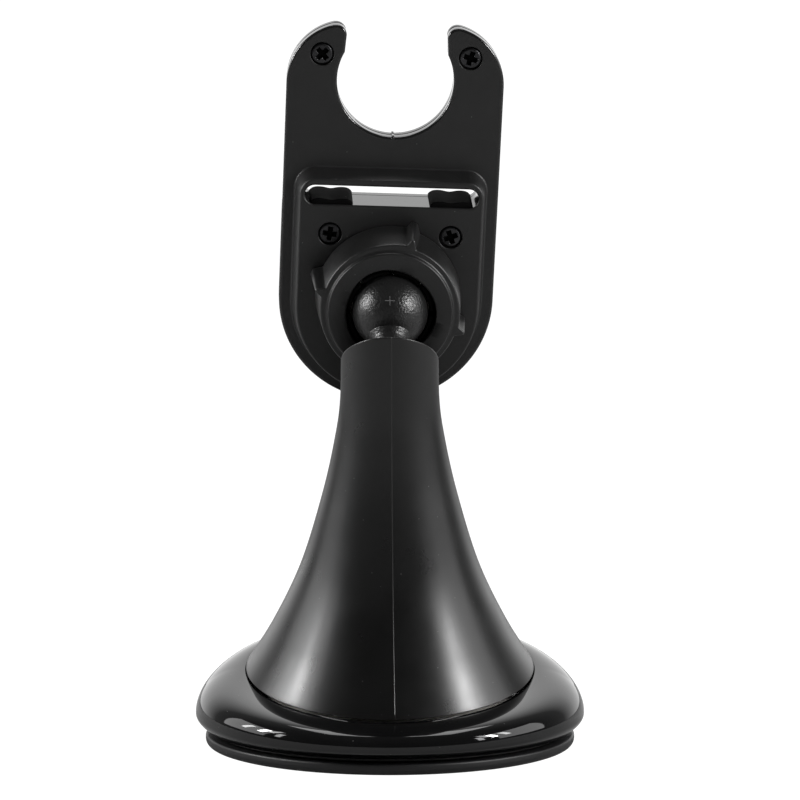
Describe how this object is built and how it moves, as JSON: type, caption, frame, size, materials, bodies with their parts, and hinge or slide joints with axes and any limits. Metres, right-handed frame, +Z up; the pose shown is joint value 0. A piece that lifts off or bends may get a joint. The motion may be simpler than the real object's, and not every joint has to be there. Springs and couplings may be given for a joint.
{
  "type": "car phone mount",
  "caption": "Black suction-base car mount with a leaning trumpet pedestal, ball joint and a fork plate that holds a phone by its round grip or finger ring",
  "frame": {"origin": "centre of the suction pad's flat underside, where the mount meets the dashboard or windscreen", "axes": "+Z up along the twist lock's axis, +Y to the phone (driver) side, -Y to the windscreen side that the rear of the fork plate faces, +X to the right seen from behind"},
  "size_m": [0.0872, 0.0872, 0.1618],
  "materials": {
    "gel": "soft tacky elastomer",
    "inner_plastic": "unpainted moulding",
    "acetal": "natural acetal",
    "zinc_steel": "zinc plated",
    "gloss_black": "high gloss",
    "satin_black": "satin moulding",
    "textured_black": "fine spark-eroded grain",
    "matte_black": "semi-matte moulding",
    "rubber": "moulded rubber",
    "black_steel": "black oxide"
  },
  "bodies": {
    "base": {"suction_pad": "gel", "base_plate": "inner_plastic"},
    "plunger_set": {"plunger": "acetal", "plunger_pin": "zinc_steel"},
    "column": {"lock_cam": "acetal", "base_ring": "gloss_black", "pedestal": "satin_black", "base_screw_1": "zinc_steel", "base_screw_2": "zinc_steel", "base_screw_3": "zinc_steel"},
    "stud": {"ball_stud": "textured_black", "stud_washer": "zinc_steel", "stud_screw": "zinc_steel"},
    "seat": {"ball_seat": "acetal"},
    "head": {"ball_socket": "inner_plastic", "seat_cushion": "rubber", "back_cover": "matte_black", "front_cover": "matte_black", "slot_pad_left": "rubber", "slot_pad_right": "rubber", "horn_screw_left": "black_steel", "horn_screw_right": "black_steel", "platform_screw_left": "black_steel", "platform_screw_right": "black_steel"},
    "nut": {"locking_nut": "matte_black"}
  },
  "joints": [
    {"name": "lock_twist", "type": "hinge", "parent": "base", "child": "column", "pos_m": [0, 0, 0.01], "axis": [0, 0, 1], "range_deg": [-70, 0]},
    {"name": "plunger_lift", "type": "slide", "parent": "base", "child": "plunger_set", "axis": [0, 0, 1], "range_m": [0, 0.003]},
    {"name": "ball_swivel", "type": "hinge", "parent": "column", "child": "stud", "pos_m": [0, -0.0044, 0.09755], "axis": [0, 0.6018, 0.7986], "range_deg": [-90, 90]},
    {"name": "ball_nod", "type": "hinge", "parent": "stud", "child": "seat", "pos_m": [0, -0.0044, 0.09755], "axis": [1, 0, 0], "range_deg": [-4, 30]},
    {"name": "head_roll", "type": "hinge", "parent": "seat", "child": "head", "pos_m": [0, -0.0044, 0.09755], "axis": [-0.0408, 0.9723, 0.23], "continuous": true},
    {"name": "nut_turn", "type": "hinge", "parent": "head", "child": "nut", "pos_m": [0, -0.0044, 0.09755], "axis": [-0.0408, 0.9723, 0.23], "range_deg": [0, 120]}
  ],
  "couplings": [
    {"joint": "plunger_lift", "follows": "lock_twist", "m_per_rad": -0.0024555}
  ]
}
